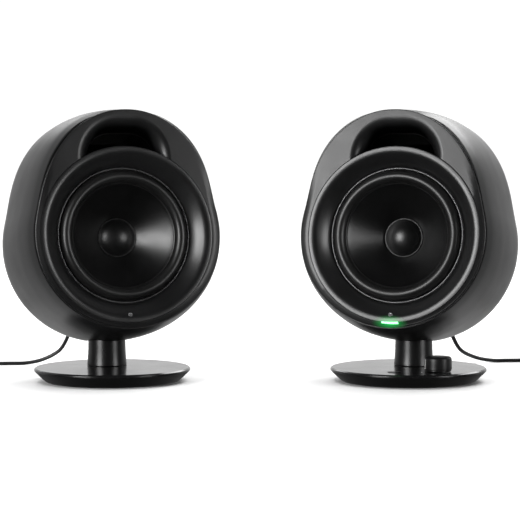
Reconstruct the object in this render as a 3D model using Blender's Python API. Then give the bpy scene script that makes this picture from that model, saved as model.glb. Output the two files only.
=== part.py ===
"""A pair of two-way-facing desktop speakers, each a tilting egg-shaped cabinet on a round stand.

Every size below is in millimetres and is turned into metres as the meshes are made. The world has +Z up.
The two speakers stand side by side along X and face -Y, each turned inwards (toed in).

Frames used for the shapes:
  stand frame  origin on the desk under the centre of the base, x to the right, y to the back, z up
  head frame   origin at the centre of the driver opening on the face, x right, y into the cabinet, z up the face
"""
import math

import bmesh
import bpy
from mathutils import Matrix, Vector

MM = 0.001
GAP = 0.3                    # clearance kept between neighbouring pieces

# ---- layout of the pair -------------------------------------------------------------------------------------
SPACING = 113.6              # half the distance between the two bases
ORIGIN_Y = -7.95             # how far the base centres stand from the middle of the pair's depth
TOE_IN = 19.5                # degrees each speaker is turned inwards
TILT = 7.5                   # degrees the face leans back at rest

# ---- stand --------------------------------------------------------------------------------------------------
BASE_RIM_R = 59.9            # widest radius of the base disc
BASE_TOP_R = 58.6
BASE_FOOT_R = 52.2
BASE_Z0, BASE_TOP_Z = 1.0, 10.6
BASE_CAVITY_R, BASE_ROOF_Z = 46.5, 7.4
FOOT_R, FOOT_Z = 45.9, 1.9
WEIGHT_R, WEIGHT_AT_Y = 26.0, 14.0
COLUMN_Y = 16.0              # the column stands this far behind the middle of the base
COLUMN_R0, COLUMN_R1, COLUMN_TOP_Z = 14.9, 13.3, 34.0
BOLT_R, BOLT_HEAD_R = 3.9, 6.5
PIVOT_Z = 46.0               # height of the tilt hinge
PIN_R, PIN_LEN = 3.0, 33.0
TONGUE_W = 12.0

# ---- controls in the right-hand base --------------------------------------------------------------------------
KNOB_AT = (29.8, -24.8)
KNOB_R, KNOB_Z0, KNOB_Z1 = 10.4, 11.0, 22.2
BUTTON_AT = (0.0, -39.3)
BUTTON_R, BUTTON_TRAVEL = 5.7, 0.6

# ---- head ---------------------------------------------------------------------------------------------------
POD_FORWARD, POD_Z = 45.0, 114.4          # centre of the driver opening, from the middle of the base
FACE_R, FACE_TOP = 69.8, 93.8             # egg outline of the flat face
BODY_R, BODY_TOP = 72.2, 94.2             # egg outline that the cabinet's sections are scaled from
WALL = 2.6
FACE_T = 3.0
# (depth behind the face, scale of the body egg, drop of its centre)
BODY_SECTIONS = ((3.3, 0.978, 0.0), (12.0, 1.013, 0.3), (34.0, 1.048, 1.0), (80.0, 1.052, 1.4),
                 (98.0, 1.005, 1.6), (109.0, 0.872, 1.7), (112.0, 0.775, 1.7))
# the pods are a mirrored pair: each outline is a little wider and leans towards its neighbour (depth, widening)
WIDEN = ((0.0, 1.3), (12.0, 1.4), (34.0, 1.7), (75.0, 1.5), (98.0, 0.6), (109.0, 0.0), (112.0, 0.0))
LEAN_LOW, LEAN_HIGH = 1.3, 2.6
EGG_N = 36                   # points round each egg outline
REAR_R, REAR_Y0, REAR_Y1 = 53.0, 109.0, 111.6
BEZEL_R, BEZEL_IN_R, BEZEL_DEPTH = 65.8, 51.0, 10.5
HUB_R, HOLE_R, LEDGE_R = 68.4, 66.2, 57.5
HUB_Y = 15.3
SLOT_W, SLOT_FRONT, SLOT_BACK = 29.6, 16.5, 19.6   # opening in the cabinet's belly for the column
GLAND_AT = (0.0, -38.0)                   # on the rear panel, x and z in the head frame
GLAND_LEN = 20.0

# ---- driver -------------------------------------------------------------------------------------------------
SEG = 28                     # sides of the large turned pieces
CONE_TRAVEL = 3.0

# ---- cords --------------------------------------------------------------------------------------------------
LINK_R, LEAD_R = 1.5, 1.6    # radii of the left link cord and the right lead


def sx(deg):
    return math.sin(math.radians(deg))


def cx(deg):
    return math.cos(math.radians(deg))


def clear_scene():
    for ob in list(bpy.data.objects):
        bpy.data.objects.remove(ob, do_unlink=True)


def material(name, rgb, rough, metal=0.0, emit=None):
    m = bpy.data.materials.get(name)
    if m:
        return m
    m = bpy.data.materials.new(name)
    m.use_nodes = True
    p = m.node_tree.nodes["Principled BSDF"]
    p.inputs["Base Color"].default_value = (*rgb, 1)
    p.inputs["Roughness"].default_value = rough
    p.inputs["Metallic"].default_value = metal
    if emit:
        p.inputs["Emission Color"].default_value = (*emit, 1)
        p.inputs["Emission Strength"].default_value = 2.0
    m.diffuse_color = (*rgb, 1)
    return m


SATIN = lambda: material("satin_black_plastic", (0.018, 0.018, 0.019), 0.42)
GLOSS = lambda: material("gloss_black_plastic", (0.010, 0.010, 0.011), 0.12)
CONE_M = lambda: material("cone_fibre", (0.030, 0.030, 0.031), 0.55)
RUBBER = lambda: material("black_rubber", (0.022, 0.022, 0.022), 0.6)
CORD_M = lambda: material("cord_jacket", (0.020, 0.020, 0.021), 0.45)
STEEL = lambda: material("steel", (0.45, 0.45, 0.46), 0.35, 1.0)
FERRITE = lambda: material("ferrite", (0.05, 0.05, 0.055), 0.6)
COPPER = lambda: material("copper_coil", (0.60, 0.28, 0.14), 0.35, 1.0)
BOARD = lambda: material("circuit_board", (0.02, 0.12, 0.05), 0.5)
LIGHT = lambda: material("status_light", (0.05, 0.9, 0.25), 0.3, 0.0, (0.05, 1.0, 0.25))
CLOTH = lambda: material("spider_cloth", (0.45, 0.30, 0.12), 0.9)


def obj_from(bm, name, mat=None):
    bmesh.ops.remove_doubles(bm, verts=bm.verts, dist=1e-7)
    bmesh.ops.recalc_face_normals(bm, faces=bm.faces)
    me = bpy.data.meshes.new(name)
    bm.to_mesh(me)
    bm.free()
    me.shade_smooth()
    me.set_sharp_from_angle(angle=math.radians(38))
    ob = bpy.data.objects.new(name, me)
    bpy.context.scene.collection.objects.link(ob)
    if mat:
        me.materials.append(mat)
    return ob


def turned(name, profile, axis="Z", at=(0, 0, 0), seg=24, mat=None):
    """A solid turned from a closed profile of (radius, height) around Z, or (radius, depth) around Y."""
    bm = bmesh.new()
    pts = []
    for r, h in profile:
        v = (r, 0, h) if axis == "Z" else (r, h, 0)
        pts.append(bm.verts.new([c * MM for c in v]))
    edges = []
    n = len(pts)
    for i in range(n):
        a, b = pts[i], pts[(i + 1) % n]
        if profile[i][0] < 1e-9 and profile[(i + 1) % n][0] < 1e-9:
            continue
        edges.append(bm.edges.new((a, b)))
    turn = (0, 0, 1) if axis == "Z" else (0, 1, 0)
    bmesh.ops.spin(bm, geom=pts + edges, cent=(0, 0, 0), axis=turn, dvec=(0, 0, 0),
                   angle=math.tau, steps=seg, use_merge=True, use_duplicate=False)
    bmesh.ops.remove_doubles(bm, verts=bm.verts, dist=2e-6)
    bmesh.ops.translate(bm, verts=bm.verts, vec=Vector(at) * MM)
    return obj_from(bm, name, mat)


def loft(name, rings, mat=None, closed=False):
    """A solid through rings of points (mm). Open: the two end rings are capped. Closed: last joins first."""
    bm = bmesh.new()
    vs = [[bm.verts.new(Vector(p) * MM) for p in ring] for ring in rings]
    n = len(vs[0])
    pairs = list(zip(vs, vs[1:])) + ([(vs[-1], vs[0])] if closed else [])
    for a, b in pairs:
        for i in range(n):
            j = (i + 1) % n
            bm.faces.new((a[i], a[j], b[j], b[i]))
    if not closed:
        bm.faces.new(vs[0])
        bm.faces.new(vs[-1])
    return obj_from(bm, name, mat)


def block(name, lo, hi, mat=None, bevel=0.0):
    bm = bmesh.new()
    bmesh.ops.create_cube(bm, size=1)
    size = Vector(hi) - Vector(lo)
    bmesh.ops.scale(bm, vec=size * MM, verts=bm.verts)
    bmesh.ops.translate(bm, vec=(Vector(hi) + Vector(lo)) * 0.5 * MM, verts=bm.verts)
    if bevel:
        bmesh.ops.bevel(bm, geom=bm.edges[:], offset=bevel * MM, segments=1, affect="EDGES")
    return obj_from(bm, name, mat)


def rod(name, r, a, b, seg=16, mat=None):
    """A cylinder of radius r from point a to point b (mm)."""
    bm = bmesh.new()
    a, b = Vector(a), Vector(b)
    d = b - a
    rot = Vector((0, 0, 1)).rotation_difference(d).to_matrix().to_4x4()
    bmesh.ops.create_cone(bm, cap_ends=True, segments=seg, radius1=r * MM, radius2=r * MM, depth=d.length * MM,
                          matrix=Matrix.Translation((a + b) * 0.5 * MM) @ rot)
    return obj_from(bm, name, mat)


def boolean(ob, other, op="DIFFERENCE"):
    """Cut or join, with the result kept as the piece's own mesh."""
    mod = ob.modifiers.new("bool", "BOOLEAN")
    mod.operation = op
    mod.object = other
    mod.solver = "EXACT"
    bpy.context.view_layer.update()
    me = bpy.data.meshes.new_from_object(ob.evaluated_get(bpy.context.evaluated_depsgraph_get()))
    ob.modifiers.clear()
    old = ob.data
    ob.data = me
    me.name = ob.name
    bpy.data.meshes.remove(old)
    bpy.data.objects.remove(other, do_unlink=True)
    bm = bmesh.new()
    bm.from_mesh(me)
    bmesh.ops.dissolve_degenerate(bm, dist=2e-6, edges=bm.edges)
    bmesh.ops.remove_doubles(bm, verts=bm.verts, dist=1e-6)
    bm.to_mesh(me)
    bm.free()
    me.shade_smooth()
    me.set_sharp_from_angle(angle=math.radians(38))
    return ob


def empty(name, parent=None, loc=(0, 0, 0), rot=None):
    e = bpy.data.objects.new(name, None)
    e.empty_display_size = 0.02
    bpy.context.scene.collection.objects.link(e)
    e.parent = parent
    e.location = Vector(loc) * MM
    if rot is not None:
        e.rotation_euler = rot
    return e


def put(ob, parent, loc=(0, 0, 0)):
    ob.parent = parent
    ob.location = Vector(loc) * MM
    return ob


# ---- outlines -----------------------------------------------------------------------------------------------
def smooth(s):
    s = min(1.0, max(0.0, s))
    return s * s * (3 - 2 * s)


def egg(radius, top, start, stop, n=EGG_N, dz=0.0, grow=0.0):
    """Egg outline: a circle of the given radius below, swelling smoothly to the height top above the middle."""
    pts = []
    for i in range(n):
        a = -90 + 360 * i / n
        e = a if a <= 90 else 180 - a
        rho = radius + grow + (top - radius) * smooth((e - start) / (stop - start))
        pts.append((rho * cx(a), rho * sx(a) + dz))
    return pts


def leaned(pts, y, s):
    """Widens an outline at depth y and shifts it towards the other speaker, more so near the crown."""
    for (y0, w0), (y1, w1) in zip(WIDEN, WIDEN[1:]):
        if y <= y1:
            wide = w0 + (w1 - w0) * max(0.0, y - y0) / (y1 - y0)
            break
    fade = 1 - smooth((y - 20.0) / 78.0)
    return [(x * (1 + wide / 71.0) - s * fade * (LEAN_LOW + (LEAN_HIGH - LEAN_LOW) * smooth((z - 15.0) / 60.0)), z)
            for x, z in pts]


def face_egg(y, s, grow=0.0, n=EGG_N):
    return leaned(egg(FACE_R, FACE_TOP, 12, 88, n, 0.0, grow), y, s)


def body_egg(y, s, scale, drop, grow=0.0, n=EGG_N):
    return leaned(egg(BODY_R * scale, BODY_TOP * scale, 13.8, 77, n, -drop, grow), y, s)


def arch(half, top, corner, bottom, n=5):
    """Arched opening: flat floor, upright sides, round shoulders and a level crown."""
    pts = [(-half, bottom), (half, bottom)]
    for i in range(n + 1):
        a = 90 * i / n
        pts.append((half - corner + corner * cx(a), top - corner + corner * sx(a)))
    for i in range(n + 1):
        a = 90 + 90 * i / n
        pts.append((-half + corner + corner * cx(a), top - corner + corner * sx(a)))
    return pts


def at_depth(outline, y):
    return [(x, y, z) for x, z in outline]


# ---- stand --------------------------------------------------------------------------------------------------
def build_stand(side, root):
    c = empty(side + "_column_axis", root, (0, COLUMN_Y, 0))
    right = side == "right"

    base = turned(side + "_base_disc", [
        (0, BASE_ROOF_Z), (BASE_CAVITY_R, BASE_ROOF_Z), (BASE_CAVITY_R, BASE_Z0 - 0.4), (BASE_FOOT_R - 1.5, 0.0),
        (BASE_FOOT_R, BASE_Z0), (BASE_RIM_R, 8.4), (BASE_RIM_R - 0.2, 9.6), (BASE_TOP_R, BASE_TOP_Z),
        (0, BASE_TOP_Z)], seg=28, mat=GLOSS())
    boolean(base, rod("cut", BOLT_R + 0.4, (0, COLUMN_Y, 2), (0, COLUMN_Y, 14)))
    if right:
        boolean(base, rod("cut", 3.4, (*KNOB_AT, 5), (*KNOB_AT, 14), seg=16))
        boolean(base, rod("cut", BUTTON_R + 0.35, (*BUTTON_AT, 5), (*BUTTON_AT, 14), seg=20))
    put(base, root)

    foot = turned(side + "_base_foot", [(0, 0), (FOOT_R - 0.6, 0), (FOOT_R, 0.6), (FOOT_R, FOOT_Z), (0, FOOT_Z)],
                  seg=28, mat=RUBBER())
    put(foot, root)

    weight = turned(side + "_base_weight", [(BOLT_HEAD_R + 0.5, 2.3), (WEIGHT_R, 2.3), (WEIGHT_R, 7.0),
                                            (BOLT_HEAD_R + 0.5, 7.0)], at=(0, WEIGHT_AT_Y + 2, 0), seg=20, mat=STEEL())
    put(weight, root)

    zc, zt = BASE_TOP_Z + GAP, COLUMN_TOP_Z
    column = turned(side + "_column", [
        (BOLT_R + 0.35, zc), (COLUMN_R0, zc), (COLUMN_R0 - 0.25, zc + 2.5), (COLUMN_R1 + 0.3, zc + 12),
        (COLUMN_R1, zt - 1.0), (COLUMN_R1 - 1.0, zt), (BOLT_R + 0.35, zt)], seg=20, mat=SATIN())
    put(column, c)

    bolt = turned(side + "_column_bolt", [
        (0, 2.5), (BOLT_HEAD_R - 0.4, 2.5), (BOLT_HEAD_R, 2.9), (BOLT_HEAD_R, BASE_ROOF_Z - GAP),
        (BOLT_R, BASE_ROOF_Z - GAP), (BOLT_R, COLUMN_TOP_Z - GAP), (0, COLUMN_TOP_Z - GAP)], seg=12, mat=STEEL())
    put(bolt, c)

    # The tongue stands on the column and carries the hinge pin through its rounded eye.
    eye = []
    for i in range(9):
        a = 180 * i / 8
        eye.append((7.2 * cx(a), PIVOT_Z + 7.2 * sx(a)))
    outline = [(-9.0, zt + GAP), (9.0, zt + GAP), (9.0, zt + 3.4)] + eye + [(-9.0, zt + 3.4)]
    tongue = loft(side + "_tilt_tongue",
                  [[(x, y, z) for y, z in outline] for x in (-TONGUE_W / 2, TONGUE_W / 2)], mat=STEEL())
    boolean(tongue, rod("cut", PIN_R + GAP, (-20, 0, PIVOT_Z), (20, 0, PIVOT_Z), seg=16))
    put(tongue, c)

    if right:
        # board under the roof of the base, a slice of a ring below the knob and the button
        inner, outer, a0, a1, n = 33.0, 45.4, -104.0, -18.0, 8
        ring = [(outer * cx(a0 + (a1 - a0) * i / n), outer * sx(a0 + (a1 - a0) * i / n)) for i in range(n + 1)]
        ring += [(inner * cx(a1 + (a0 - a1) * i / n), inner * sx(a1 + (a0 - a1) * i / n)) for i in range(n + 1)]
        put(loft("control_board", [[(x, y, z) for x, y in ring] for z in (2.3, 3.5)], mat=BOARD()), root)

        enc = empty("volume_knob_axis", root, (*KNOB_AT, 0))
        body = block("volume_encoder", (-4.0, -4.0, 3.8), (4.0, 4.0, 7.0), mat=STEEL())
        boolean(body, rod("cut", 3.0, (0, 0, 6), (0, 0, KNOB_Z1 - 3.5), seg=16), "UNION")
        put(body, enc)
        knob = turned("volume_knob", [
            (3.3, KNOB_Z0), (KNOB_R - 0.5, KNOB_Z0), (KNOB_R, KNOB_Z0 + 0.8), (KNOB_R - 0.15, KNOB_Z1 - 1.6),
            (KNOB_R - 0.7, KNOB_Z1 - 0.5), (KNOB_R - 2.0, KNOB_Z1), (0, KNOB_Z1),
            (0, KNOB_Z1 - 3.1), (3.3, KNOB_Z1 - 3.1)], seg=20, mat=SATIN())
        put(knob, enc)

        btn = empty("function_button_axis", root, (*BUTTON_AT, 0))
        put(turned("function_button", [
            (0, 5.6), (BUTTON_R + 0.7, 5.6), (BUTTON_R + 0.7, 6.3), (BUTTON_R, 6.3), (BUTTON_R, BASE_TOP_Z - 0.1),
            (BUTTON_R - 0.5, BASE_TOP_Z + 0.35), (0, BASE_TOP_Z + 0.35)], seg=20, mat=GLOSS()), btn)
        put(block("button_switch", (-3, -3, 3.8), (3, 3, 4.6), mat=STEEL()), btn)


# ---- head ---------------------------------------------------------------------------------------------------
def bezel_profile():
    """Flared ring: level at the rim, rolling over into the cabinet like a horn mouth."""
    front, back = [], []
    steps = 5
    for i in range(steps + 1):
        a = 90 * i / steps
        front.append((BEZEL_R - 1.2 - (BEZEL_R - 1.2 - BEZEL_IN_R) * sx(a), BEZEL_DEPTH * (1 - cx(a))))
    back = [(BEZEL_IN_R, 11.9), (BEZEL_R, 11.9), (BEZEL_R, 0.5)]
    return front + back


def build_head(side, head, drive, to_pivot):
    right = side == "right"

    def seat(ob):
        return put(ob, head, to_pivot)

    # cabinet shell: one wall, open at the face and at the back
    sign = 1 if right else -1
    outer = [at_depth(body_egg(y, sign, f, dz), y) for y, f, dz in BODY_SECTIONS]
    inner = [at_depth(body_egg(y, sign, f, dz, -WALL if y > 4 else -1.4), y) for y, f, dz in BODY_SECTIONS if y != 109.0]
    shell = loft(side + "_cabinet_shell", outer + inner[::-1], mat=SATIN(), closed=True)
    py, pz = -to_pivot[1], -to_pivot[2]
    boolean(shell, block("cut", (-SLOT_W / 2, py - SLOT_FRONT, pz - 40), (SLOT_W / 2, py + SLOT_BACK, pz), bevel=3))
    seat(shell)

    rear = loft(side + "_rear_panel",
                [at_depth(egg(REAR_R - t, REAR_R - t + 14.8, 13.8, 77, EGG_N, -1.7), y)
                 for y, t in ((REAR_Y0, 0), (REAR_Y1 - 0.8, 0), (REAR_Y1, 0.8))], mat=SATIN())
    boolean(rear, rod("cut", 3.4, (GLAND_AT[0], 100, GLAND_AT[1]), (GLAND_AT[0], 120, GLAND_AT[1]), seg=12))
    if right:
        boolean(rear, block("cut", (-28.3, 100, -43.3), (-15.7, 120, -32.7)))
    seat(rear)

    # baffle: flat egg face, round hub for the driver, flared mouth of the bass port
    baffle = loft(side + "_front_baffle",
                  [at_depth(face_egg(y, sign, g), y) for y, g in ((0.0, -0.7), (0.7, 0.0), (FACE_T, 0.0))], mat=SATIN())
    hub = turned("hub", [(0, 1.0), (HUB_R, 1.0), (HUB_R, HUB_Y), (0, HUB_Y)], axis="Y", seg=SEG)
    boolean(baffle, hub, "UNION")
    mouth = loft("mouth", [at_depth(arch(h, t, c, 50), y) for y, h, t, c in
                           ((1.2, 36.2, 89.2, 24), (6, 32.0, 83.6, 20), (HUB_Y, 29.0, 79.4, 15))])
    boolean(baffle, mouth, "UNION")
    boolean(baffle, turned("cut", [(0, -2), (HOLE_R, -2), (HOLE_R, 12.2), (0, 12.2)], axis="Y", seg=SEG))
    boolean(baffle, turned("cut", [(0, 10), (LEDGE_R, 10), (LEDGE_R, 18), (0, 18)], axis="Y", seg=SEG))
    boolean(baffle, loft("cut", [at_depth(arch(h, t, c, 62), y) for y, h, t, c in
                                 ((-1.0, 36.5, 89.8, 25), (0.6, 33.6, 86.6, 22), (4, 29.8, 81.6, 18),
                                  (9, 27.4, 78.2, 15), (18, 26.6, 77.0, 13))]))
    if right:
        slot = [(r * sx(a), -r * cx(a)) for r, a in [(60, -6), (60, 6)]]
        slot += [(67.5 * sx(a), -67.5 * cx(a)) for a in (6, 3, 0, -3, -6)]
        boolean(baffle, loft("cut", [at_depth(slot, y) for y in (-2, 9)]))
    seat(baffle)
    if right:
        bar = [(66.3 * sx(a), -66.3 * cx(a)) for a in (-5.5, -2.8, 0, 2.8, 5.5)]
        bar += [(67.2 * sx(a), -67.2 * cx(a)) for a in (5.5, 2.8, 0, -2.8, -5.5)]
        seat(loft("led_light_bar", [at_depth(bar, y) for y in (0.15, 8.6)], mat=LIGHT()))

    seat(turned(side + "_driver_bezel", bezel_profile(), axis="Y", seg=SEG, mat=SATIN()))

    # bass port: an arched duct behind the mouth
    y0, y1 = HUB_Y + GAP, 72.0
    o, i = (28.8, 79.2, 15), (26.6, 77.0, 13)
    seat(loft(side + "_port_duct", [at_depth(arch(*o, 59.8), y0), at_depth(arch(*o, 59.8), y1),
                                    at_depth(arch(*i, 62), y1), at_depth(arch(*i, 62), y0)],
              mat=SATIN(), closed=True))

    # driver frame (basket) behind the bezel and ledge
    basket = turned(side + "_driver_basket", [
        (50.0, 12.5), (57.0, 12.5), (57.0, 15.0), (52.5, 15.0), (38.5, 43.8), (30.0, 43.8), (30.0, 41.8),
        (36.6, 41.8), (50.0, 14.6)], axis="Y", seg=SEG, mat=SATIN())
    for k in range(4):
        a = 45 + 90 * k
        w = block("cut", (-13, 20, 20), (13, 38, 70))
        w.data.transform(Matrix.Rotation(math.radians(a), 4, "Y"))
        boolean(basket, w)
    seat(basket)

    roll = []
    for k in range(5):                       # half roll, thin rubber, crest towards the listener
        a = 180 * k / 4
        roll.append((44.2 + 4.6 * cx(a), 11.0 - 5.2 * sx(a)))
    skin = [(44.2 + 3.8 * cx(a), 11.0 - 4.3 * sx(a)) for a in (180, 120, 60, 0)]
    seat(turned(side + "_surround", [(49.7, 12.2), (49.7, 11.0)] + roll + [(39.3, 12.2)] + skin, axis="Y", seg=SEG, mat=RUBBER()))
    seat(turned(side + "_spider", [(14.0, 36.0), (29.5, 36.0), (29.5, 37.0), (14.0, 37.0)], axis="Y", seg=20,
                mat=CLOTH()))
    seat(turned(side + "_top_plate", [(13.9, 44.2), (34.0, 44.2), (34.0, 49.0), (13.9, 49.0)], axis="Y", seg=20,
                mat=STEEL()))
    seat(turned(side + "_magnet", [(18.0, 49.3), (37.0, 49.3), (37.0, 62.0), (18.0, 62.0)], axis="Y", seg=20,
                mat=FERRITE()))
    seat(turned(side + "_pole_yoke", [(0, 44.6), (11.8, 44.6), (11.8, 62.3), (34.0, 62.3), (34.0, 67.3), (0, 67.3)],
                axis="Y", seg=20, mat=STEEL()))

    # moving assembly, on the driver's axis
    put(turned(side + "_cone", [
        (38.9, 11.6), (37.6, 11.6), (36.4, 12.8), (26.0, 21.5), (13.6, 31.6), (13.6, 33.2), (14.8, 33.2),
        (26.6, 23.1), (38.9, 13.0)], axis="Y", seg=SEG, mat=CONE_M()), drive)
    dome_out = [(14.2 * sx(a), 30.6 - 6.2 * (cx(a) - cx(75)) / (1 - cx(75))) for a in (0, 20, 40, 60)]
    put(turned(side + "_dust_cap", [(0, 24.4)] + dome_out[1:] + [(14.0, 30.2), (13.2, 30.9), (9.0, 28.4), (0, 26.0)],
               axis="Y", seg=24, mat=CONE_M()), drive)
    put(turned(side + "_voice_coil", [(12.5, 33.5), (13.3, 33.5), (13.3, 52.0), (12.5, 52.0)], axis="Y", seg=20,
               mat=COPPER()), drive)

    # bracket over the slot: an upturned box with two cheeks that hold the pin's ends
    b = block(side + "_head_bracket", (-18.5, py - 21, pz - 9.0), (18.5, py + 21, pz + 11.5), mat=STEEL())
    boolean(b, block("cut", (-15.5, py - 18, pz - 20), (15.5, py + 18, pz + 9.0)))
    boolean(b, rod("cut", PIN_R + GAP, (-30, py, pz), (30, py, pz), seg=16))
    seat(b)
    seat(rod(side + "_hinge_pin", PIN_R, (-PIN_LEN / 2 - 2.3, py, pz), (PIN_LEN / 2 + 2.3, py, pz), seg=16, mat=STEEL()))

    g0, g1 = REAR_Y1 + GAP, REAR_Y1 + GLAND_LEN
    rr = LEAD_R if right else LINK_R
    gl = turned(side + "_cord_gland", [
        (0, REAR_Y0 - 3), (3.0, REAR_Y0 - 3), (3.0, g0), (5.2, g0), (5.2, g0 + 2.2), (4.2, g0 + 3.2),
        (rr + 0.9, g1), (0, g1)], axis="Y", at=(GLAND_AT[0], 0, GLAND_AT[1]), seg=12, mat=RUBBER())
    seat(gl)

    if right:
        seat(block("amplifier_board", (-36, 96.0, -30), (36, 97.6, 24), mat=BOARD()))
        inlet = block("dc_inlet", (-28.0, 98.2, -43.0), (-16.0, REAR_Y1 + 0.6, -33.0), mat=GLOSS())
        bore = turned("cut", [(1.1, 102), (3.2, 102), (3.2, 120), (1.1, 120)], axis="Y", at=(-22, 0, -38), seg=16)
        boolean(inlet, bore)
        seat(inlet)


# ---- cords --------------------------------------------------------------------------------------------------
def smooth_route(points, step):
    """Points at an even step along a Catmull-Rom curve through the route's own points (mm, world)."""
    p = [Vector(q) for q in points]
    p = [p[0] * 2 - p[1]] + p + [p[-1] * 2 - p[-2]]
    dense = []
    for i in range(1, len(p) - 2):
        a, b, c, d = p[i - 1], p[i], p[i + 1], p[i + 2]
        for k in range(24):
            t = k / 24
            dense.append(0.5 * ((2 * b) + (c - a) * t + (2 * a - 5 * b + 4 * c - d) * t * t
                                + (3 * b - a - 3 * c + d) * t ** 3))
    dense.append(p[-2])
    total = sum((dense[i + 1] - dense[i]).length for i in range(len(dense) - 1))
    n = max(2, round(total / step))
    out, run, i = [dense[0]], 0.0, 0
    for k in range(1, n):
        goal = total * k / n
        while i < len(dense) - 2 and run + (dense[i + 1] - dense[i]).length < goal:
            run += (dense[i + 1] - dense[i]).length
            i += 1
        seg = dense[i + 1] - dense[i]
        out.append(dense[i] + seg * ((goal - run) / max(seg.length, 1e-9)))
    out.append(dense[-1])
    return out


def cord_tube(name, points, radius, step):
    cu = bpy.data.curves.new(name, "CURVE")
    cu.dimensions = "3D"
    cu.bevel_depth = radius * MM
    cu.bevel_resolution = 2
    cu.use_fill_caps = True
    sp = cu.splines.new("POLY")
    pts = smooth_route(points, step)
    sp.points.add(len(pts) - 1)
    for q, v in zip(sp.points, pts):
        q.co = (*(v * MM), 1)
    ob = bpy.data.objects.new(name, cu)
    bpy.context.scene.collection.objects.link(ob)
    cu.materials.append(CORD_M())
    return ob


def build_cord(side, tip, back):
    """The free stretch from the gland to the floor and out to the coil; the coil; the plug beside it."""
    s = 1 if side == "right" else -1
    right = side == "right"
    r = LEAD_R if right else LINK_R
    floor = r + 0.1
    oy = ORIGIN_Y
    run_y = (131.0 if right else 109.0) + oy          # where it lies as it runs outwards
    coil_r, half_w, half_h = 18.5, 6.8, (6.9 if right else 6.4)
    coil_c = Vector((s * 246.0, run_y + (coil_r if not right else -coil_r), half_h + 0.1))
    t = Vector(tip)
    route = [t + back * GAP, t + back * 5, t + back * 13 + Vector((s * 1.0, 0, -4.0)),
             Vector((s * 153.8, 100 + oy, 35.5)), Vector((s * 158.2, 103.5 + oy, 23.5)),
             Vector((s * 165.5, 107.5 + oy + (3 if right else 0), 12.2)),
             Vector((s * 179.5, run_y + (-5 if right else 1.5), floor + 3.0)),
             Vector((s * 193.0, run_y + (-1.5 if right else 1.5), floor + 0.2)),
             Vector((s * 206.0, run_y, floor)), Vector((s * 226.4, run_y, floor))]
    cord_tube("left_link_cord" if not right else "right_audio_lead", route, r, 5.0 * r)
    prof = []
    for k in range(8):
        a = 360 * (k + 0.5) / 8
        prof.append((coil_r + half_w * cx(a) / cx(22.5), half_h * sx(a) / cx(22.5)))
    turned(side + "_cord_coil", prof, at=coil_c, seg=16, mat=CORD_M())
    # the plug lies on the floor behind (left) or in front (right) of the coil, outside the coil's turns
    py = coil_c.y + (coil_r + half_w + 6.0) * (1 if not right else -1)
    if right:      # slim audio plug
        prof = [(0, 0), (1.9, 0), (2.6, 7), (3.9, 9), (3.9, 24), (3.2, 26), (1.75, 26), (1.75, 39), (0.9, 40.5),
                (0, 40.5)]
    else:          # barrel plug
        prof = [(0, 0), (2.0, 0), (2.8, 8), (4.9, 10), (4.9, 27), (4.0, 28.5), (2.75, 28.5), (2.75, 38), (0, 38)]
    big = max(p[0] for p in prof)
    plug = turned(side + "_cord_plug", prof, axis="Z", seg=12, mat=RUBBER())
    plug.data.transform(Matrix.Rotation(math.radians(-90 * s), 4, "Y"))
    plug.location = Vector((coil_c.x + s * 16.0, py, big + 0.1)) * MM
    return coil_c


def main():
    clear_scene()
    for side, s in (("left", -1), ("right", 1)):
        turn = math.radians(-s * TOE_IN)
        root = empty(side + "_stand_frame", None, (s * SPACING, ORIGIN_Y, 0), (0, 0, turn))
        build_stand(side, root)

        head = empty(side + "_tilt_axis", root, (0, COLUMN_Y, PIVOT_Z), (math.radians(-TILT), 0, 0))
        dy, dz = COLUMN_Y + POD_FORWARD, PIVOT_Z - POD_Z
        pivot = (0.0, dy * cx(TILT) - dz * sx(TILT), dy * sx(TILT) + dz * cx(TILT))   # hinge, in the head frame
        to_pivot = tuple(-v for v in pivot)
        drive = empty(side + "_driver_axis", head, to_pivot)
        build_head(side, head, drive, to_pivot)

        rot = Matrix.Rotation(turn, 3, "Z") @ Matrix.Rotation(math.radians(-TILT), 3, "X")
        hinge = Vector((s * SPACING, ORIGIN_Y, 0)) + Matrix.Rotation(turn, 3, "Z") @ Vector((0, COLUMN_Y, PIVOT_Z))
        back = rot @ Vector((0, 1, 0))
        tip = hinge + rot @ (Vector((GLAND_AT[0], REAR_Y1 + GLAND_LEN, GLAND_AT[1])) - Vector(pivot))
        build_cord(side, tip, back)
    bpy.context.view_layer.update()


main()
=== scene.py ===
"""Looks for a pair of desktop speakers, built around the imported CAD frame.

Shapes are written in millimetres in two frames and then placed in the row frame:
  stand frame  middle of a base on the desk, x right, y back, z up
  head frame   middle of the driver opening on the face, x right, y into the cabinet, z up the face
"""
import math

import bmesh
import bpy
import numpy as np
from mathutils import Matrix, Vector


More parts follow.
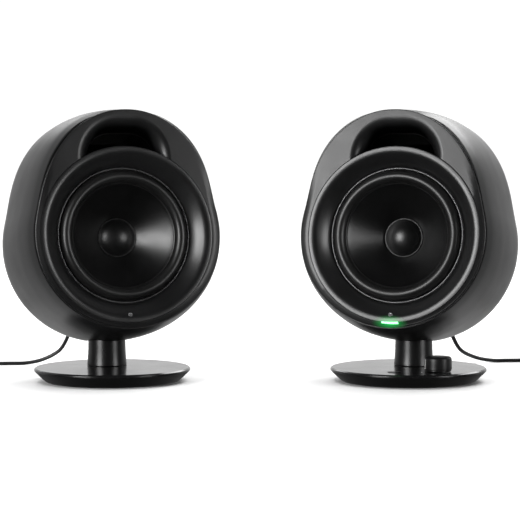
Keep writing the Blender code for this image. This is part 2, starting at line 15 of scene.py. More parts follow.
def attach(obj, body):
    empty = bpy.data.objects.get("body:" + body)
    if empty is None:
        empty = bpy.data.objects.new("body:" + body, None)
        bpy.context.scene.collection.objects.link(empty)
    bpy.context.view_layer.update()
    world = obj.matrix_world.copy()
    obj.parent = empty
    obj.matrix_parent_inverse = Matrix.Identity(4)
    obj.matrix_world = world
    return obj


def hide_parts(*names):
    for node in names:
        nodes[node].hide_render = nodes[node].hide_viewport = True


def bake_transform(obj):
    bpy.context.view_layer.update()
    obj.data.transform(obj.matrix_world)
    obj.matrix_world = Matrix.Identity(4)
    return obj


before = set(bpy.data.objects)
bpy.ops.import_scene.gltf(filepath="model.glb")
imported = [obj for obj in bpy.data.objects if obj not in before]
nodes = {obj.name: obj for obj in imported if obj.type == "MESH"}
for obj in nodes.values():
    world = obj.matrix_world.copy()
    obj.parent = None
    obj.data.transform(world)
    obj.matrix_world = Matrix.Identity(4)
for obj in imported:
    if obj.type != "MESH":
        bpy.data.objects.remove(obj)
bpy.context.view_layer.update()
scene = bpy.context.scene

SPACING, ORIGIN_Y, TOE_IN, TILT = 113.6, -7.95, 19.5, 7.5
COLUMN_Y, PIVOT_Z, POD_FORWARD, POD_Z = 16.0, 46.0, 45.0, 114.4
SIDES = (("left", -1), ("right", 1))
PIVOT = (0.0,
         (COLUMN_Y + POD_FORWARD) * math.cos(math.radians(TILT)) - (PIVOT_Z - POD_Z) * math.sin(math.radians(TILT)),
         (COLUMN_Y + POD_FORWARD) * math.sin(math.radians(TILT)) + (PIVOT_Z - POD_Z) * math.cos(math.radians(TILT)))
MM = Matrix.Scale(0.001, 4)


def stand_matrix(s):
    return Matrix.Translation((s * SPACING / 1000, ORIGIN_Y / 1000, 0)) @ Matrix.Rotation(math.radians(-s * TOE_IN), 4, "Z")


def head_matrix(s):
    return (stand_matrix(s) @ Matrix.Translation((0, -POD_FORWARD / 1000, POD_Z / 1000))
            @ Matrix.Rotation(math.radians(-TILT), 4, "X"))


def sn(deg):
    return math.sin(math.radians(deg))


def cs(deg):
    return math.cos(math.radians(deg))


def smooth(t):
    t = min(1.0, max(0.0, t))
    return t * t * (3 - 2 * t)


# ---------------------------------------------------------------------------------------------- mesh helpers
def mesh(name, verts, faces):
    """An object from points in millimetres, welded, with its normals facing outwards."""
    me = bpy.data.meshes.new(name)
    me.from_pydata([tuple(v) for v in verts], [], [tuple(f) for f in faces])
    bm = bmesh.new()
    bm.from_mesh(me)
    bmesh.ops.remove_doubles(bm, verts=bm.verts, dist=1e-3)
    bmesh.ops.dissolve_degenerate(bm, dist=1e-3, edges=bm.edges)
    bmesh.ops.recalc_face_normals(bm, faces=bm.faces)
    bm.to_mesh(me)
    bm.free()
    ob = bpy.data.objects.new(name, me)
    scene.collection.objects.link(ob)
    return ob


def rounded(points, n=4):
    """A closed outline of (x, y, fillet radius) with its corners rounded."""
    out, m = [], len(points)
    for i, p in enumerate(points):
        rad = p[2] if len(p) > 2 else 0.0
        here, prev, nxt = Vector(p[:2]), Vector(points[i - 1][:2]), Vector(points[(i + 1) % m][:2])
        if rad <= 0:
            out.append((here.x, here.y))
            continue
        u, v = (prev - here), (nxt - here)
        lu, lv = u.length, v.length
        u.normalize()
        v.normalize()
        half = math.acos(max(-1.0, min(1.0, u.dot(v)))) / 2
        if half > math.radians(88):
            out.append((here.x, here.y))
            continue
        d = min(rad / math.tan(half), 0.49 * lu, 0.49 * lv)
        rr = d * math.tan(half)
        c = here + (u + v).normalized() * (rr / math.sin(half))
        a, b = here + u * d, here + v * d
        a0, a1 = math.atan2(a.y - c.y, a.x - c.x), math.atan2(b.y - c.y, b.x - c.x)
        da = (a1 - a0 + math.pi) % math.tau - math.pi
        out += [(c.x + rr * math.cos(a0 + da * k / n), c.y + rr * math.sin(a0 + da * k / n)) for k in range(n + 1)]
    return out


def lathe(name, profile, seg=96, axis="Y", at=(0, 0, 0), phase=0.0):
    """A solid turned from a closed outline of (radius, height)."""
    m = len(profile)
    verts, faces = [], []
    for k in range(seg):
        a = math.tau * k / seg + phase
        for r, h in profile:
            r = max(r, 0.0)
            if axis == "Y":
                verts.append((r * math.cos(a) + at[0], h + at[1], r * math.sin(a) + at[2]))
            else:
                verts.append((r * math.cos(a) + at[0], r * math.sin(a) + at[1], h + at[2]))
    for k in range(seg):
        k2 = (k + 1) % seg
        for i in range(m):
            j = (i + 1) % m
            if profile[i][0] < 1e-6 and profile[j][0] < 1e-6:
                continue
            faces.append((k * m + i, k * m + j, k2 * m + j, k2 * m + i))
    return mesh(name, verts, faces)


def loft(name, rings, closed=False):
    n = len(rings[0])
    verts = [p for ring in rings for p in ring]
    faces = []
    m = len(rings)
    for k in range(m if closed else m - 1):
        a, b = k * n, ((k + 1) % m) * n
        for i in range(n):
            j = (i + 1) % n
            faces.append((a + i, a + j, b + j, b + i))
    if not closed:
        faces.append(tuple(range(n)))
        faces.append(tuple((m - 1) * n + i for i in range(n)))
    return mesh(name, verts, faces)


def cut(ob, other, op="DIFFERENCE"):
    mod = ob.modifiers.new("b", "BOOLEAN")
    mod.operation, mod.object, mod.solver = op, other, "EXACT"
    bpy.context.view_layer.update()
    me = bpy.data.meshes.new_from_object(ob.evaluated_get(bpy.context.evaluated_depsgraph_get()))
    ob.modifiers.clear()
    old, ob.data = ob.data, me
    bpy.data.meshes.remove(old)
    bpy.data.objects.remove(other, do_unlink=True)
    bm = bmesh.new()
    bm.from_mesh(me)
    bmesh.ops.remove_doubles(bm, verts=bm.verts, dist=1e-3)
    bmesh.ops.dissolve_degenerate(bm, dist=1e-3, edges=bm.edges)
    bm.to_mesh(me)
    bm.free()
    return ob


def place(ob, name, mat, M=None, body=None, replaces=(), sharp=36, weighted=False):
    """Puts a finished mesh in the row frame, gives it its finish and the body that it rides on."""
    ob.name = name
    ob.data.name = name
    if M is not None:
        ob.data.transform(M @ MM)
    ob.data.materials.clear()
    for m in (mat if isinstance(mat, (list, tuple)) else (mat,)):
        ob.data.materials.append(m)
    ob.data.shade_smooth()
    ob.data.set_sharp_from_angle(angle=math.radians(sharp))
    if weighted:
        w = ob.modifiers.new("weighted_normals", "WEIGHTED_NORMAL")
        w.keep_sharp = True
        w.weight = 80
    if body:
        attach(ob, body)
    if replaces:
        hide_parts(*replaces)
    return ob


def frames_along(path):
    """Points and two cross directions at each, turned as little as possible from one to the next."""
    p = np.array(path, float)
    t = np.gradient(p, axis=0)
    t /= np.linalg.norm(t, axis=1)[:, None]
    u = np.cross(t[0], (0, 0, 1.0))
    if np.linalg.norm(u) < 1e-3:
        u = np.cross(t[0], (1.0, 0, 0))
    u /= np.linalg.norm(u)
    us = [u]
    for i in range(1, len(p)):
        u = us[-1] - t[i] * np.dot(us[-1], t[i])
        us.append(u / np.linalg.norm(u))
    us = np.array(us)
    return p, us, np.cross(t, us)


def tube(name, path, radius, sides=14):
    p, u, v = frames_along(path)
    verts, faces = [], []
    for i in range(len(p)):
        for k in range(sides):
            a = math.tau * k / sides
            verts.append(p[i] + radius * (math.cos(a) * u[i] + math.sin(a) * v[i]))
    for i in range(len(p) - 1):
        for k in range(sides):
            j = (k + 1) % sides
            faces.append((i * sides + k, i * sides + j, (i + 1) * sides + j, (i + 1) * sides + k))
    faces.append(tuple(range(sides)))
    faces.append(tuple((len(p) - 1) * sides + k for k in range(sides)))
    return mesh(name, verts, faces)


# ---------------------------------------------------------------------------------------------- outlines
def egg(radius, top, start, stop, n, dz=0.0, grow=0.0):
    pts = []
    for i in range(n):
        a = -90 + 360 * i / n
        e = a if a <= 90 else 180 - a
        rho = radius + grow + (top - radius) * smooth((e - start) / (stop - start))
        pts.append((rho * cs(a), rho * sn(a) + dz))
    return pts


def arch(half, top, corner, bottom, n=16):
    pts = [(-half, bottom), (half, bottom)]
    for i in range(n + 1):
        a = 90 * i / n
        pts.append((half - corner + corner * cs(a), top - corner + corner * sn(a)))
    for i in range(n + 1):
        a = 90 + 90 * i / n
        pts.append((-half + corner + corner * cs(a), top - corner + corner * sn(a)))
    return pts


def at(outline, y):
    return [(x, y, z) for x, z in outline]


def pchip(xs, ys, x):
    """Shape-keeping cubic through the points."""
    xs, ys = np.array(xs, float), np.array(ys, float)
    h, d = np.diff(xs), np.diff(ys) / np.diff(xs)
    m = np.zeros(len(xs))
    m[0], m[-1] = d[0], d[-1]
    for i in range(1, len(xs) - 1):
        if d[i - 1] * d[i] > 0:
            w1, w2 = 2 * h[i] + h[i - 1], h[i] + 2 * h[i - 1]
            m[i] = (w1 + w2) / (w1 / d[i - 1] + w2 / d[i])
    i = int(min(max(np.searchsorted(xs, x) - 1, 0), len(h) - 1))
    t = (x - xs[i]) / h[i]
    return float((2 * t ** 3 - 3 * t ** 2 + 1) * ys[i] + (t ** 3 - 2 * t ** 2 + t) * h[i] * m[i]
                 + (-2 * t ** 3 + 3 * t ** 2) * ys[i + 1] + (t ** 3 - t ** 2) * h[i] * m[i + 1])


# ---------------------------------------------------------------------------------------------- materials
def ramp(nt, fac, a, b, ca, cb):
    r = nt.nodes.new("ShaderNodeMapRange")
    r.clamp = True
    r.inputs["From Min"].default_value, r.inputs["From Max"].default_value = a, b
    r.inputs["To Min"].default_value, r.inputs["To Max"].default_value = ca, cb
    nt.links.new(fac, r.inputs["Value"])
    return r.outputs["Result"]


def finish_of(name, colour, rough, spread=0.05, metal=0.0, grain=1500.0, depth=0.00002, strength=0.25, shade=0.18,
              spec=0.5, coat=0.0, coat_rough=0.1, cloud=38.0, sheen=0.0):
    """Moulded or turned surface: broad colour and gloss variation, and a fine grain in its bump."""
    m = bpy.data.materials.new(name)
    m.use_nodes = True
    nt = m.node_tree
    p = nt.nodes["Principled BSDF"]
    p.inputs["Metallic"].default_value = metal
    p.inputs["Specular IOR Level"].default_value = spec
    p.inputs["Coat Weight"].default_value = coat
    p.inputs["Coat Roughness"].default_value = coat_rough
    if sheen:
        p.inputs["Sheen Weight"].default_value = sheen
    co = nt.nodes.new("ShaderNodeTexCoord").outputs["Object"]
    broad = nt.nodes.new("ShaderNodeTexNoise")
    broad.inputs["Scale"].default_value = cloud
    broad.inputs["Detail"].default_value = 5.0
    broad.inputs["Roughness"].default_value = 0.6
    nt.links.new(co, broad.inputs["Vector"])
    fine = nt.nodes.new("ShaderNodeTexNoise")
    fine.inputs["Scale"].default_value = grain
    fine.inputs["Detail"].default_value = 3.0
    nt.links.new(co, fine.inputs["Vector"])
    mix = nt.nodes.new("ShaderNodeMix")
    mix.data_type = "RGBA"
    mix.inputs["A"].default_value = (*[c * (1 - shade) for c in colour], 1)
    mix.inputs["B"].default_value = (*[min(1.0, c * (1 + shade)) for c in colour], 1)
    nt.links.new(ramp(nt, broad.outputs["Fac"], 0.3, 0.7, 0.0, 1.0), mix.inputs["Factor"])
    nt.links.new(mix.outputs["Result"], p.inputs["Base Color"])
    nt.links.new(ramp(nt, broad.outputs["Fac"], 0.3, 0.7, max(0.02, rough - spread), rough + spread), p.inputs["Roughness"])
    bump = nt.nodes.new("ShaderNodeBump")
    bump.inputs["Strength"].default_value = strength
    bump.inputs["Distance"].default_value = depth
    nt.links.new(fine.outputs["Fac"], bump.inputs["Height"])
    nt.links.new(bump.outputs["Normal"], p.inputs["Normal"])
    return m


def pulp_cone(name, colour, rough):
    """Pressed fibre: short felted strands, a little uneven in colour."""
    m = finish_of(name, colour, rough, 0.06, grain=900.0, depth=0.00005, strength=0.35, shade=0.25)
    nt = m.node_tree
    vor = nt.nodes.new("ShaderNodeTexVoronoi")
    vor.inputs["Scale"].default_value = 420.0
    vor.feature = "SMOOTH_F1"
    nt.links.new(nt.nodes["Texture Coordinate"].outputs["Object"], vor.inputs["Vector"])
    bump = nt.nodes["Bump"]
    b2 = nt.nodes.new("ShaderNodeBump")
    b2.inputs["Strength"].default_value = 0.12
    b2.inputs["Distance"].default_value = 0.00004
    nt.links.new(vor.outputs["Distance"], b2.inputs["Height"])
    nt.links.new(b2.outputs["Normal"], bump.inputs["Normal"])
    return m


def woven(name, colour, rough):
    m = finish_of(name, colour, rough, 0.05, grain=1200, depth=0.00004, strength=0.4, shade=0.2, sheen=0.2)
    nt = m.node_tree
    wave = nt.nodes.new("ShaderNodeTexWave")
    wave.inputs["Scale"].default_value = 420.0
    wave.inputs["Distortion"].default_value = 1.5
    nt.links.new(nt.nodes["Texture Coordinate"].outputs["Object"], wave.inputs["Vector"])
    b2 = nt.nodes.new("ShaderNodeBump")
    b2.inputs["Strength"].default_value = 0.5
    b2.inputs["Distance"].default_value = 0.00008
    nt.links.new(wave.outputs["Fac"], b2.inputs["Height"])
    nt.links.new(b2.outputs["Normal"], nt.nodes["Bump"].inputs["Normal"])
    return m


def glowing(name, colour, emit, strength):
    m = finish_of(name, colour, 0.25, 0.05, grain=2500, strength=0.1)
    p = m.node_tree.nodes["Principled BSDF"]
    p.inputs["Emission Color"].default_value = (*emit, 1)
    p.inputs["Emission Strength"].default_value = strength
    return m


CABINET = finish_of("cabinet_satin_black", (0.0065, 0.0065, 0.0068), 0.38, 0.03, spec=0.5)
FACE = finish_of("face_satin_black", (0.0040, 0.0040, 0.0042), 0.36, 0.03, spec=0.5)
RING = finish_of("ring_satin_black", (0.0050, 0.0050, 0.0052), 0.31, 0.03, spec=0.55)
TRIM = finish_of("trim_polished_black", (0.10, 0.10, 0.102), 0.28, 0.03, metal=0.7, spec=0.9)
# painted shade: the port duct is near-black with almost no reflection, for the shade deep in the port
DUCT_SHADE = finish_of("duct_black_painted_shade", (0.0005, 0.0005, 0.0005), 0.7, 0.04, spec=0.02)
CONE = pulp_cone("cone_pressed_fibre", (0.0018, 0.0018, 0.0019), 0.35)
CAP = pulp_cone("dust_cap_fibre", (0.0026, 0.0026, 0.0027), 0.35)
RUBBER = finish_of("surround_rubber", (0.0045, 0.0045, 0.0045), 0.38, 0.04, grain=1100, strength=0.25, spec=0.5)
GLOSS = finish_of("base_gloss_black", (0.005, 0.005, 0.0052), 0.20, 0.02, grain=300, depth=0.00001, strength=0.04)
# painted shade: a darker, dull copy of the base's black for its downward-facing faces
BASE_UNDER_SHADE = finish_of("base_underside_painted_shade", (0.002, 0.002, 0.002), 0.5, 0.05, spec=0.03)
COLUMN = finish_of("column_satin_black", (0.005, 0.005, 0.0052), 0.30, 0.03)
KNOB = finish_of("knob_satin_black", (0.006, 0.006, 0.0062), 0.31, 0.03)
WHITE = finish_of("print_white", (0.75, 0.75, 0.74), 0.5, 0.05, shade=0.06)
SILVER = finish_of("mark_satin_silver", (0.42, 0.42, 0.43), 0.35, 0.05, metal=0.9, shade=0.08)
JACKET = finish_of("cord_pvc_black", (0.011, 0.011, 0.0115), 0.42, 0.05, grain=1800, strength=0.2)
BOOT = finish_of("boot_rubber", (0.014, 0.014, 0.014), 0.55, 0.05, grain=1400, strength=0.3, spec=0.4)
STEEL = finish_of("steel_plain", (0.42, 0.42, 0.43), 0.34, 0.08, metal=1.0, grain=700, shade=0.10)
DARK_STEEL = finish_of("steel_blackened", (0.05, 0.05, 0.052), 0.4, 0.08, metal=0.8, grain=900, shade=0.15)
GOLD = finish_of("contact_gold", (0.85, 0.62, 0.28), 0.25, 0.05, metal=1.0, shade=0.06)
FERRITE = finish_of("magnet_ferrite", (0.045, 0.045, 0.05), 0.62, 0.08, grain=600, strength=0.5)
COPPER = finish_of("coil_copper", (0.70, 0.30, 0.14), 0.3, 0.06, metal=1.0, grain=2600)
BOARD = finish_of("board_green", (0.015, 0.10, 0.045), 0.45, 0.08, grain=1200, shade=0.25)
SPIDER = woven("spider_woven", (0.42, 0.26, 0.10), 0.85)
STRAP = woven("tie_woven", (0.012, 0.012, 0.012), 0.8)
LED = glowing("status_light_green", (0.10, 0.75, 0.22), (0.30, 1.0, 0.42), 1.7)


def painted_led_glow(mat, centre, across, up, reach):
    """Painted green glow: emission on the plastic round the status light stands in for the light it spills."""
    nt = mat.node_tree
    d = nt.nodes.new("ShaderNodeVectorMath")
    d.operation = "SUBTRACT"
    nt.links.new(nt.nodes["Texture Coordinate"].outputs["Object"], d.inputs[0])
    d.inputs[1].default_value = tuple(centre)
    parts = nt.nodes.new("ShaderNodeCombineXYZ")
    for k, axis in enumerate((Vector(across) * 0.42, Vector(up))):
        dot = nt.nodes.new("ShaderNodeVectorMath")
        dot.operation = "DOT_PRODUCT"
        nt.links.new(d.outputs["Vector"], dot.inputs[0])
        dot.inputs[1].default_value = tuple(axis)
        nt.links.new(dot.outputs["Value"], parts.inputs[k])
    far = nt.nodes.new("ShaderNodeVectorMath")
    far.operation = "LENGTH"
    nt.links.new(parts.outputs[0], far.inputs[0])
    soft = nt.nodes.new("ShaderNodeMath")
    soft.operation = "POWER"
    nt.links.new(ramp(nt, far.outputs["Value"], 0.0004, reach, 1.0, 0.0), soft.inputs[0])
    soft.inputs[1].default_value = 1.7
    scaled = nt.nodes.new("ShaderNodeMath")
    scaled.operation = "MULTIPLY"
    nt.links.new(soft.outputs[0], scaled.inputs[0])
    scaled.inputs[1].default_value = 0.55
    p = nt.nodes["Principled BSDF"]
    p.inputs["Emission Color"].default_value = (0.0, 1.0, 0.16, 1)
    nt.links.new(scaled.outputs[0], p.inputs["Emission Strength"])


# painted green glow on the ring and face plate round the right speaker's status light
_h = head_matrix(1)
for _m in (RING, FACE):
    painted_led_glow(_m, _h @ Vector((0, 0.0, -0.0661)), _h.to_3x3() @ Vector((1, 0, 0)), _h.to_3x3() @ Vector((0, 0, 1)), 0.0062)
# painted shade: the face plate's throat is darkened and loses its reflection as it goes in
_nt = FACE.node_tree
_throat_shade_node = _nt.nodes.new("ShaderNodeAttribute")
_throat_shade_node.attribute_name = "throat_painted_shade"
_nt.links.new(ramp(_nt, _throat_shade_node.outputs["Fac"], 0.0, 1.0, 0.5, 0.02), _nt.nodes["Principled BSDF"].inputs["Specular IOR Level"])
_mix = _nt.nodes.new("ShaderNodeMix")
_mix.data_type = "RGBA"
_nt.links.new(_nt.nodes["Principled BSDF"].inputs["Base Color"].links[0].from_socket, _mix.inputs["A"])
_mix.inputs["B"].default_value = (0.0005, 0.0005, 0.0005, 1)
_nt.links.new(_throat_shade_node.outputs["Fac"], _mix.inputs["Factor"])
_nt.links.new(_mix.outputs["Result"], _nt.nodes["Principled BSDF"].inputs["Base Color"])

# ---------------------------------------------------------------------------------------------- camera
cam_data = bpy.data.cameras.new("camera")
cam_data.sensor_width = 36.0
cam_data.lens = 135.83
cam_data.clip_end = 60.0
cam = bpy.data.objects.new("camera", cam_data)
cam.location = (-0.00027, -1.50795, 0.1745)
cam.rotation_euler = (math.radians(90 - 3.12), 0, 0)
scene.collection.objects.link(cam)
scene.camera = cam


# ---------------------------------------------------------------------------------------------- cords
def catmull(points, step):
    p = [Vector(q) for q in points]
    p = [p[0] * 2 - p[1]] + p + [p[-1] * 2 - p[-2]]
    dense = []
    for i in range(1, len(p) - 2):
        a, b, c, d = p[i - 1], p[i], p[i + 1], p[i + 2]
        for k in range(30):
            t = k / 30
            dense.append(0.5 * ((2 * b) + (c - a) * t + (2 * a - 5 * b + 4 * c - d) * t * t
                                + (3 * b - a - 3 * c + d) * t ** 3))
    dense.append(p[-2])
    line = np.array([tuple(v) for v in dense])
    return evenly(line, step)


def evenly(line, step):
    run = np.concatenate([[0], np.cumsum(np.linalg.norm(np.diff(line, axis=0), axis=1))])
    n = max(2, int(round(run[-1] / step)))
    s = np.linspace(0, run[-1], n + 1)
    return np.stack([np.interp(s, run, line[:, k]) for k in range(3)], axis=1)


def coil(centre, s, turns, r, spacing, lift, mean=18.5, cols=4, layers=4, per_turn=30):
    """Wound turn by turn, layer by layer. Each step to the next place is taken in its layer's own sector."""
    cells = []
    for layer in range(layers):
        order = range(cols - 1, -1, -1) if layer % 2 == 0 else range(cols)
        cells += [(c, layer) for c in order]
    starts = [k + (0.88 if cells[k][1] == cells[k + 1][1] else 0.78) - 0.20 * cells[k][1] for k in range(len(cells) - 1)]
    pts = []
    n = int(round(turns * per_turn))
    for i in range(n + 1):
        f = turns * i / n
        u, v = cells[0]
        for k, st in enumerate(starts):
            if f <= st:
                break
            t = smooth((f - st) / 0.10)
            u = cells[k][0] + (cells[k + 1][0] - cells[k][0]) * t
            v = cells[k][1] + (cells[k + 1][1] - cells[k][1]) * t
        rad = mean + (u - (cols - 1) / 2) * spacing
        a, b = rad * math.sin(math.tau * f), -rad * math.cos(math.tau * f)
        pts.append((centre[0] + a * s, centre[1] - b * s, lift + v * spacing))
    return np.array(pts), rad


def tie_band(name, centre, s, frac, mean, half_w, z0, z1, width=5.0, thick=0.4):
    """A strap closed round the section of a coil."""
    ang = math.tau * frac
    ea = np.array((s * math.sin(ang), s * math.cos(ang), 0.0))         # outwards
    et = np.array((s * math.cos(ang), -s * math.sin(ang), 0.0))        # along the turns
    c = np.array((centre[0], centre[1], 0.0))
    loops = []
    for grow in (0.0, thick):
        hw, lo, hi = half_w + grow, z0 - grow, z1 + grow
        loops.append(rounded([(mean - hw, lo, 1.4 + grow), (mean + hw, lo, 1.4 + grow), (mean + hw, hi, 1.8 + grow),
                              (mean - hw, hi, 1.8 + grow)], 5))
    rings = []
    for i in range(len(loops[0])):
        quad = []
        for loop, side in ((0, -1), (0, 1), (1, 1), (1, -1)):
            r, z = loops[loop][i]
            quad.append(c + ea * r + et * (side * width / 2) + np.array((0, 0, z)))
        rings.append(quad)
    return loft(name, rings, closed=True)


CORD_FACTS = {"left": dict(r=1.5, run=109.0, turns=15.22, spacing=3.1, length=2.0),
              "right": dict(r=1.6, run=131.0, turns=14.22, spacing=3.3, length=1.8)}
GLAND_TIP = (0.0, 111.6 + 20.0, -38.0)
cords = {}
for side, s in SIDES:
    H = head_matrix(s)
    f = CORD_FACTS[side]
    r, run_y, sp = f["r"], f["run"] + ORIGIN_Y, f["spacing"]
    floor_z = r + 0.1
    tip = H @ (Vector(GLAND_TIP) / 1000) * 1000
    back = (H.to_3x3() @ Vector((0, 1, 0))).normalized()
    right = side == "right"
    cx_, cy_ = s * 246.0, run_y + (18.5 if not right else -18.5)
    shift = 1.5 * sp * (1 if right else -1)                # the run drifts to the outermost turn
    route = [tip - back * 3, tip + back * 1, tip + back * 5, tip + back * 13 + Vector((s * 1.0, 0, -4.0)),
             Vector((s * 153.8, 100 + ORIGIN_Y, 35.5)), Vector((s * 158.2, 103.5 + ORIGIN_Y, 23.5)),
             Vector((s * 165.5, 107.5 + ORIGIN_Y + (3 if right else 0), 12.2)),
             Vector((s * 179.5, run_y + (-5 if right else 1.5), floor_z + 3.0)),
             Vector((s * 193.0, run_y + (-1.5 if right else 1.5), floor_z + 0.2)),
             Vector((s * 206.0, run_y, floor_z)), Vector((s * 221.0, run_y + shift * 0.35, floor_z)),
             Vector((s * 234.0, run_y + shift * 0.86, floor_z + 0.3)), Vector((s * 241.0, run_y + shift, r + 0.5)),
             Vector((s * 246.0, run_y + shift, r + 0.5))]
    free = catmull(route, 4.0)
    ring, rad = coil((cx_, cy_), s, f["turns"], r, sp, r + 0.5)
    # tail: off the outside of the coil, round to the plug that lies beside it
    lean = math.tau * (0.25 - (f["turns"] % 1.0))
    heading = np.array((math.sin(lean), math.cos(lean)))
    p0 = np.array((rad * math.cos(lean), -rad * math.sin(lean)))
    plug_b, plug_a, bend = 31.3, 16.0, 9.0
    reach = (plug_b - bend - bend * math.sin(lean) - p0[1]) / heading[1]
    plug_z = 5.0 if not right else 4.0
    flat = [p0 + heading * reach * k / 12 for k in range(1, 13)]
    cc = flat[-1] - np.array((bend * math.cos(lean), -bend * math.sin(lean)))
    turn_by = math.pi / 2 + lean
    flat += [cc + bend * np.array((math.cos(-lean + turn_by * k / 14), math.sin(-lean + turn_by * k / 14)))
             for k in range(1, 15)]
    last = flat[-1]
    while last[0] > plug_a - 4.0:
        last = last + np.array((-1.5, 0.0))
        flat.append(last)
    z_top = ring[-1][2]
    tail = []
    for k, q in enumerate(flat):
        t = smooth((k / len(flat) - 0.12) / 0.74)
        tail.append((cx_ + q[0] * s, cy_ - q[1] * s, z_top + (plug_z - z_top) * t))
    path = np.concatenate([free, ring[1:], np.array(tail)]) / 1000
    name = "left_link_cord_run" if not right else "right_audio_lead_run"
    cord = tube(name, path * 1000, r, 14)
    cord = place(cord, name, JACKET, Matrix.Identity(4), sharp=60)
    total = float(np.linalg.norm(np.diff(path, axis=0), axis=1).sum())
    free_len = np.concatenate([[0], np.cumsum(np.linalg.norm(np.diff(free, axis=0), axis=1))])
    print(f"{side} cord {total:.3f} m, free {free_len[-1]:.0f} mm")
    hang = float(free_len[np.argmax(free[:, 2] < floor_z + 3.0)])
    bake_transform(cord)
    # weights by distance along the cord over its hanging stretch; nothing uses them
    count = len(cord.data.vertices)
    co = np.zeros(count * 3)
    cord.data.vertices.foreach_get("co", co)
    co = co.reshape(-1, 3) * 1000
    near = np.array([int(np.argmin(((free - c) ** 2).sum(1))) if c[2] > floor_z + 1.5 and abs(c[0]) < 200 else -1 for c in co])
    w = np.array([0.0 if i < 0 else 1.0 - smooth((free_len[i] - 4.0) / (hang - 4.0)) for i in near], np.float32)
    cord.visible_glossy = False
    tube_node = "left_link_cord" if not right else "right_audio_lead"
    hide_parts(tube_node, side + "_cord_coil")
    # tie
    z1 = r + 0.5 + 3 * sp + r
    tie = place(tie_band(side + "_cord_tie", (cx_, cy_), s, 0.12, 18.5, 1.5 * sp + r + 0.15, 0.48, z1 + 0.1),
                side + "_cord_tie", STRAP, Matrix.Identity(4), "root", sharp=50)
    # plug, hi-res, its axis along the row's X; it points back towards the object
    if right:
        prof = rounded([(0, 0), (1.95, 0, .3), (2.0, 2.2, .2), (2.4, 2.4, .2), (2.4, 3.6, .2), (2.05, 3.8, .2),
                        (2.15, 5.2, .2), (2.7, 5.4, .2), (2.8, 7.4, .3), (3.9, 9, .8), (3.9, 24, .5), (3.2, 25.4, .4), (0, 25.4)])
        pin = rounded([(0, 25.2), (1.75, 25.2), (1.75, 30.3), (1.62, 30.4), (1.62, 30.8), (1.75, 30.9), (1.75, 34.2),
                       (1.62, 34.3), (1.62, 34.7), (1.75, 34.8), (1.75, 37.4, .3), (1.1, 38.1, .3), (1.75, 39.1, .4),
                       (0.5, 40.5, .3), (0, 40.5)])
        collar = None
    else:
        prof = rounded([(0, 0), (2.0, 0, .3), (2.1, 2.4, .2), (2.6, 2.6, .2), (2.6, 3.9, .2), (2.2, 4.1, .2),
                        (2.35, 5.6, .2), (2.9, 5.8, .2), (3.0, 7.8, .3), (4.9, 10.2, 1.0), (4.9, 27, .5), (4.0, 28.4, .4), (0, 28.4)])
        pin = rounded([(0, 28.2), (2.75, 28.2), (2.75, 37.8, .25), (1.15, 37.8, .2), (1.15, 33.0), (0, 33.0)])
    P = (Matrix.Translation(((cx_ + s * plug_a) / 1000, (cy_ - plug_b * s) / 1000, plug_z / 1000))
         @ Matrix.Rotation(math.radians(-90 * s), 4, "Y"))
    plug = place(lathe(side + "_plug_body", prof, 48, "Z"), side + "_plug_body", BOOT, P, "root",
                 (side + "_cord_plug",))
    tipp = place(lathe(side + "_plug_pin", pin, 40, "Z"), side + "_plug_pin", GOLD if right else STEEL, P, "root")
    cords[side] = cord

# ---------------------------------------------------------------------------------------------- heads
N_EGG = 160
BODY_Y = (3.3, 6.0, 12.0, 20.0, 34.0, 55.0, 75.0, 88.0, 98.0, 105.0, 109.0, 112.0)
BODY_S = (0.978, 0.990, 1.013, 1.030, 1.047, 1.056, 1.053, 1.037, 1.003, 0.938, 0.872, 0.775)
BODY_D = (0.0, 0.15, 0.3, 0.6, 1.0, 1.2, 1.4, 1.5, 1.6, 1.7, 1.7, 1.7)
BEZEL_R, BEZEL_IN, BEZEL_D = 65.8, 51.0, 10.5
REAR_R, WALL = 53.0, 2.6
GLAND_AT = (0.0, -38.0)


WIDE_Y = (0.0, 12.0, 34.0, 75.0, 98.0, 109.0, 112.0)
WIDE_BY = (1.3, 1.4, 1.7, 1.5, 0.6, 0.0, 0.0)


def leaned(pts, y):
    """The pods are a mirrored pair: an outline is a little wider and leans towards its neighbour."""
    wide, fade = pchip(WIDE_Y, WIDE_BY, y), 1 - smooth((y - 20.0) / 78.0)
    return [(x * (1 + wide / 71.0) - s * fade * (1.3 + 1.3 * smooth((z - 15.0) / 60.0)), z) for x, z in pts]


def body_ring(y, grow=0.0, shift=0.0):
    sc = pchip(BODY_Y, BODY_S, y)
    dz = pchip(BODY_Y, BODY_D, y)
    return at(leaned(egg(72.2 * sc, 94.2 * sc, 13.8, 77, N_EGG, -dz, grow), y), y + shift)


def face_ring(y, grow, n=N_EGG):
    return at(leaned(egg(69.8, 93.8, 12, 88, n, 0.0, grow), y), y)


def bezel_front(steps):
    """From the level rim inwards: a broad funnel that steepens towards its foot."""
    rs = (65.5, 64.0, 62.5, 61.0, 59.5, 57.5, 56.0, 54.5, 53.0, 52.0, 51.0)
    slope = (-4, 2, 13, 28, 38, 41, 44, 48, 53, 58, 64)
    out, y = [], 0.0
    n = steps * 2
    for i in range(n + 1):
        r = rs[0] + (rs[-1] - rs[0]) * (i / n)
        if i:
            f = np.interp(-(r + prev) / 2, [-v for v in rs], slope)
            y += (prev - r) * math.tan(math.radians(f))
        out.append([r, y])
        prev = r
    k = 10.0 / out[-1][1]
    return [(r, h * k) for r, h in out]


